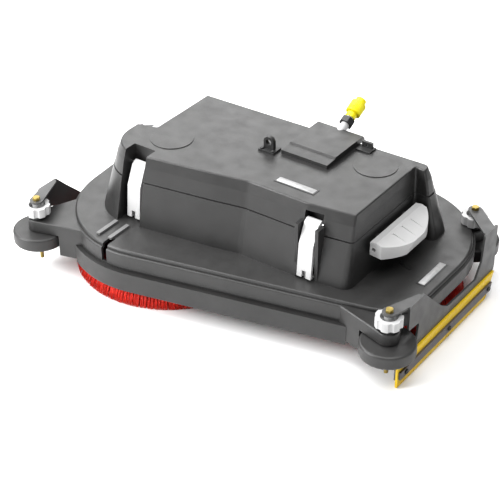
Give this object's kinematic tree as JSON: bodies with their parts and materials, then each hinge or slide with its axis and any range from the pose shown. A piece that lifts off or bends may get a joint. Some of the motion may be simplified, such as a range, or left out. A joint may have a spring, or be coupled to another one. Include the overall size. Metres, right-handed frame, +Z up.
{
  "type": "scrub deck",
  "caption": "Twin-disc scrub deck of a walk-behind or ride-on floor scrubber, with height-adjustable side skirts, corner rollers, latched hood and brush-release pedals.",
  "frame": {"origin": "on the floor, midway between the two brush axes", "axes": "+X to the machine's right along the working width, +Y to the rear, +Z up"},
  "size_m": [0.838, 0.58, 0.3079],
  "materials": {
    "deck_plastic": "fine spark-eroded grain",
    "hood_plastic": "fine spark-eroded grain",
    "rail_plastic": "fine grain",
    "grey_plastic": "satin",
    "white_plastic": "satin",
    "roller_plastic": "satin, scuffed rim",
    "bristle_red": "nylon filament",
    "brush_plate": "moulded block",
    "lip_yellow": "soft polyurethane",
    "strip_dark": "powder coat",
    "carrier_black": "powder coat",
    "zinc_yellow": "yellow zinc plating",
    "steel": "bright zinc plating",
    "frame_paint": "powder coat",
    "gear_alloy": "as cast",
    "motor_paint": "semi-gloss paint",
    "coupling_yellow": "satin",
    "nut_black": "satin",
    "label_grey": "printed film, blank"
  },
  "bodies": {
    "deck": {"deck_shell": "deck_plastic", "front_rail": "rail_plastic", "rear_rail": "rail_plastic", "guide_bars": "grey_plastic", "roller_axles": "frame_paint", "inner_frame": "frame_paint", "gearbox_left": "gear_alloy", "gearbox_right": "gear_alloy", "motor_left": "motor_paint", "motor_right": "motor_paint", "motor_screws": "steel", "hood": "hood_plastic", "latch_pins": "steel", "pedal_pins": "steel", "latch_catches": "grey_plastic", "pedal_springs": "steel", "lifting_eye": "frame_paint", "eye_screws": "steel", "connector_cover": "hood_plastic", "cover_bracket": "frame_paint", "inlet_pipe": "white_plastic", "inlet_nut": "nut_black", "coupling_body": "coupling_yellow", "water_manifold": "white_plastic", "hood_label": "label_grey", "deck_label": "label_grey", "slot_cap": "nut_black"},
    "coupling_sleeve": {"coupling_sleeve": "coupling_yellow"},
    "brush_left": {"drive_hub_left": "steel", "brush_plate_left": "brush_plate", "bristles_left": "bristle_red"},
    "latch_left": {"latch_left": "grey_plastic"},
    "pedal_left": {"pedal_left": "grey_plastic"},
    "skirt_left": {"skirt_carrier_left": "carrier_black", "lip_left": "lip_yellow", "clamp_strip_left": "strip_dark", "strip_screws_left": "steel", "adjuster_bolts_left": "zinc_yellow"},
    "brush_right": {"drive_hub_right": "steel", "brush_plate_right": "brush_plate", "bristles_right": "bristle_red"},
    "latch_right": {"latch_right": "grey_plastic"},
    "pedal_right": {"pedal_right": "grey_plastic"},
    "skirt_right": {"skirt_carrier_right": "carrier_black", "lip_right": "lip_yellow", "clamp_strip_right": "strip_dark", "strip_screws_right": "steel", "adjuster_bolts_right": "zinc_yellow"},
    "roller_fl": {"roller_fl": "roller_plastic"},
    "star_knob_fl": {"star_knob_fl": "white_plastic"},
    "roller_fr": {"roller_fr": "roller_plastic"},
    "star_knob_fr": {"star_knob_fr": "white_plastic"},
    "roller_rl": {"roller_rl": "roller_plastic"},
    "star_knob_rl": {"star_knob_rl": "white_plastic"},
    "roller_rr": {"roller_rr": "roller_plastic"},
    "star_knob_rr": {"star_knob_rr": "white_plastic"}
  },
  "joints": [
    {"name": "brush_left_spin", "type": "hinge", "parent": "deck", "child": "brush_left", "pos_m": [-0.182, -0.066, 0.08], "axis": [0, 0, 1], "continuous": true},
    {"name": "brush_right_spin", "type": "hinge", "parent": "deck", "child": "brush_right", "pos_m": [0.182, 0.066, 0.08], "axis": [0, 0, 1], "continuous": true},
    {"name": "roller_fr_spin", "type": "hinge", "parent": "deck", "child": "roller_fr", "pos_m": [0.368, -0.163, 0.08], "axis": [0, 0, 1], "continuous": true},
    {"name": "roller_rr_spin", "type": "hinge", "parent": "deck", "child": "roller_rr", "pos_m": [0.332, 0.208, 0.08], "axis": [0, 0, 1], "continuous": true},
    {"name": "roller_fl_spin", "type": "hinge", "parent": "deck", "child": "roller_fl", "pos_m": [-0.368, -0.243, 0.08], "axis": [0, 0, 1], "continuous": true},
    {"name": "roller_rl_spin", "type": "hinge", "parent": "deck", "child": "roller_rl", "pos_m": [-0.332, 0.128, 0.08], "axis": [0, 0, 1], "continuous": true},
    {"name": "skirt_left_height", "type": "slide", "parent": "deck", "child": "skirt_left", "axis": [0, 0, 1], "range_m": [0, 0.01]},
    {"name": "skirt_right_height", "type": "slide", "parent": "deck", "child": "skirt_right", "axis": [0, 0, 1], "range_m": [0, 0.01]},
    {"name": "star_knob_fr_turn", "type": "hinge", "parent": "deck", "child": "star_knob_fr", "pos_m": [0.368, -0.163, 0.133], "axis": [0, 0, 1], "range_deg": [0, 1800]},
    {"name": "star_knob_rr_turn", "type": "hinge", "parent": "deck", "child": "star_knob_rr", "pos_m": [0.332, 0.208, 0.133], "axis": [0, 0, 1], "range_deg": [0, 1800]},
    {"name": "star_knob_fl_turn", "type": "hinge", "parent": "deck", "child": "star_knob_fl", "pos_m": [-0.368, -0.243, 0.133], "axis": [0, 0, 1], "range_deg": [0, 1800]},
    {"name": "star_knob_rl_turn", "type": "hinge", "parent": "deck", "child": "star_knob_rl", "pos_m": [-0.332, 0.128, 0.133], "axis": [0, 0, 1], "range_deg": [0, 1800]},
    {"name": "latch_left_swing", "type": "hinge", "parent": "deck", "child": "latch_left", "pos_m": [-0.202, -0.123, 0.226], "axis": [-1, 0, 0], "range_deg": [0, 70]},
    {"name": "latch_right_swing", "type": "hinge", "parent": "deck", "child": "latch_right", "pos_m": [0.173, -0.102, 0.226], "axis": [-1, 0, 0], "range_deg": [0, 70]},
    {"name": "pedal_left_press", "type": "hinge", "parent": "deck", "child": "pedal_left", "pos_m": [-0.285, 0.056, 0.178], "axis": [0, -1, 0], "range_deg": [0, 12], "stiffness_Nm_per_rad": 8, "springref_deg": -6.88},
    {"name": "pedal_right_press", "type": "hinge", "parent": "deck", "child": "pedal_right", "pos_m": [0.269, 0.024, 0.178], "axis": [0, 1, 0], "range_deg": [0, 12], "stiffness_Nm_per_rad": 8, "springref_deg": -6.88},
    {"name": "coupling_sleeve_pull", "type": "slide", "parent": "deck", "child": "coupling_sleeve", "axis": [0, -0.899, -0.438], "range_m": [0, 0.0035], "stiffness_N_per_m": 600, "springref_m": -0.002}
  ],
  "couplings": [
    {"joint": "star_knob_fl_turn", "follows": "skirt_left_height", "rad_per_m": 3141.6},
    {"joint": "star_knob_rl_turn", "follows": "skirt_left_height", "rad_per_m": 3141.6},
    {"joint": "star_knob_fr_turn", "follows": "skirt_right_height", "rad_per_m": 3141.6},
    {"joint": "star_knob_rr_turn", "follows": "skirt_right_height", "rad_per_m": 3141.6}
  ]
}
